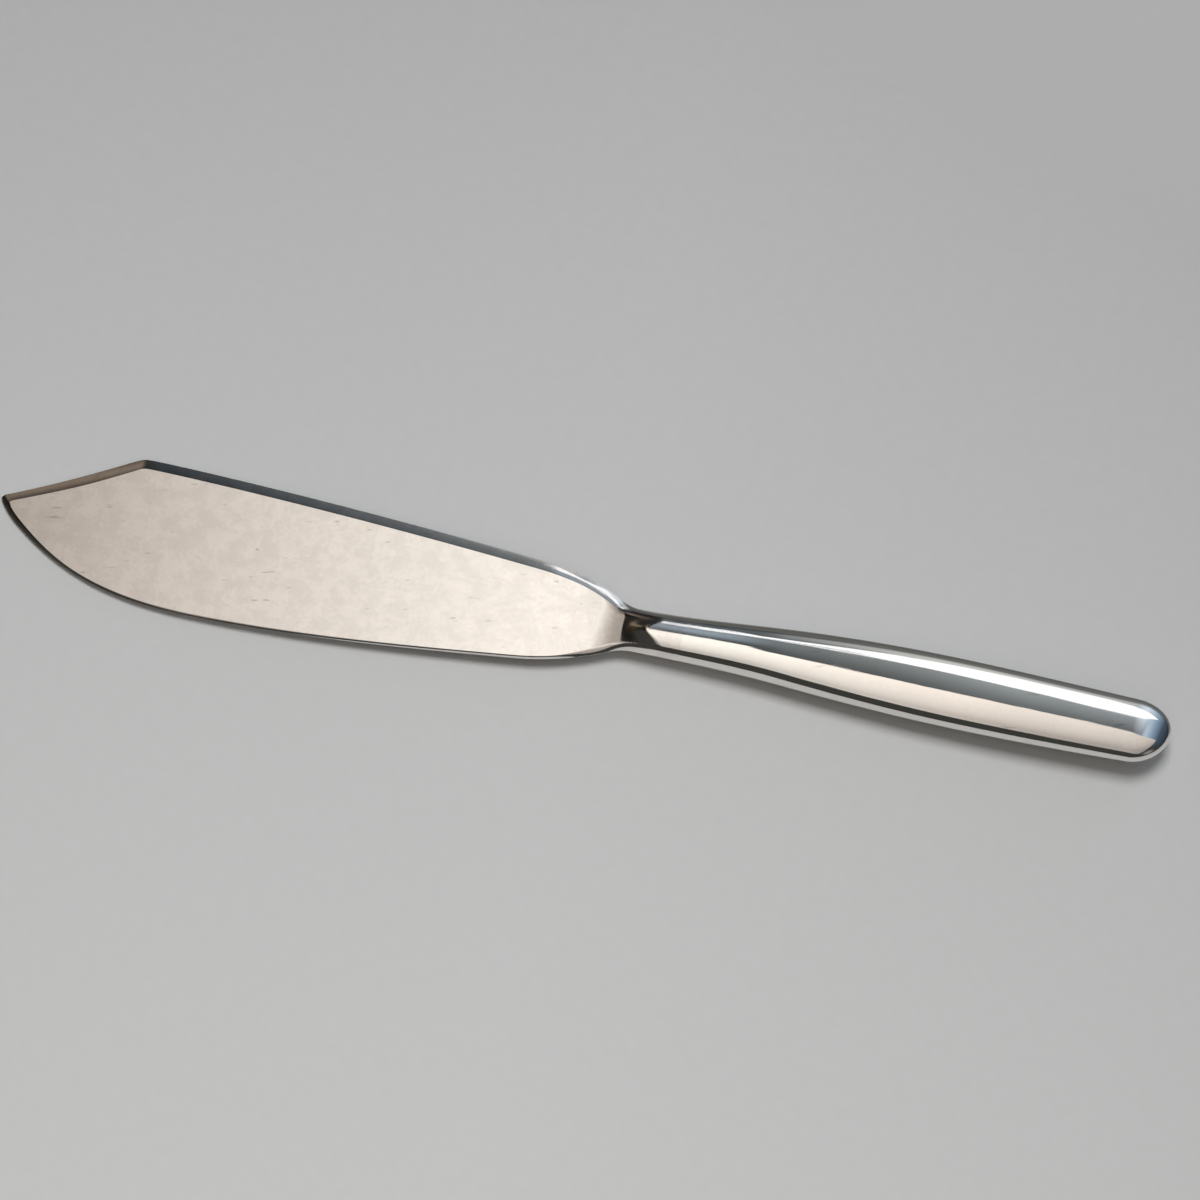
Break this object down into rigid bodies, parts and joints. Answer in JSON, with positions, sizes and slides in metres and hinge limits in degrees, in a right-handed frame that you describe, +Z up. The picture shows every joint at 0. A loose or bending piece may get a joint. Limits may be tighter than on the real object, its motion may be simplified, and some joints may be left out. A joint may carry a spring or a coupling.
{
  "type": "cake knife",
  "caption": "Cake knife: broad flat blade with a clipped point and rounded margins, a scooped neck and a smooth hollow oval handle, for cutting and serving slices of cake.",
  "frame": {"origin": "under the middle of the knife's box, on the table it lies on", "axes": "+X along the knife from the tip to the butt, +Y to the spine, +Z up out of the front face"},
  "size_m": [0.2758, 0.0346, 0.0114],
  "materials": {
    "blade_steel": "hand polished, with fine cloudy scratches",
    "handle_silver": "mirror polished",
    "solder": "filed flush",
    "cement": "cast, matte"
  },
  "bodies": {
    "root": {"blade": "blade_steel", "handle_front_shell": "handle_silver", "handle_back_shell": "handle_silver", "handle_seam_solder": "solder", "neck_joint_solder": "solder", "tang_cement": "cement"}
  },
  "joints": []
}
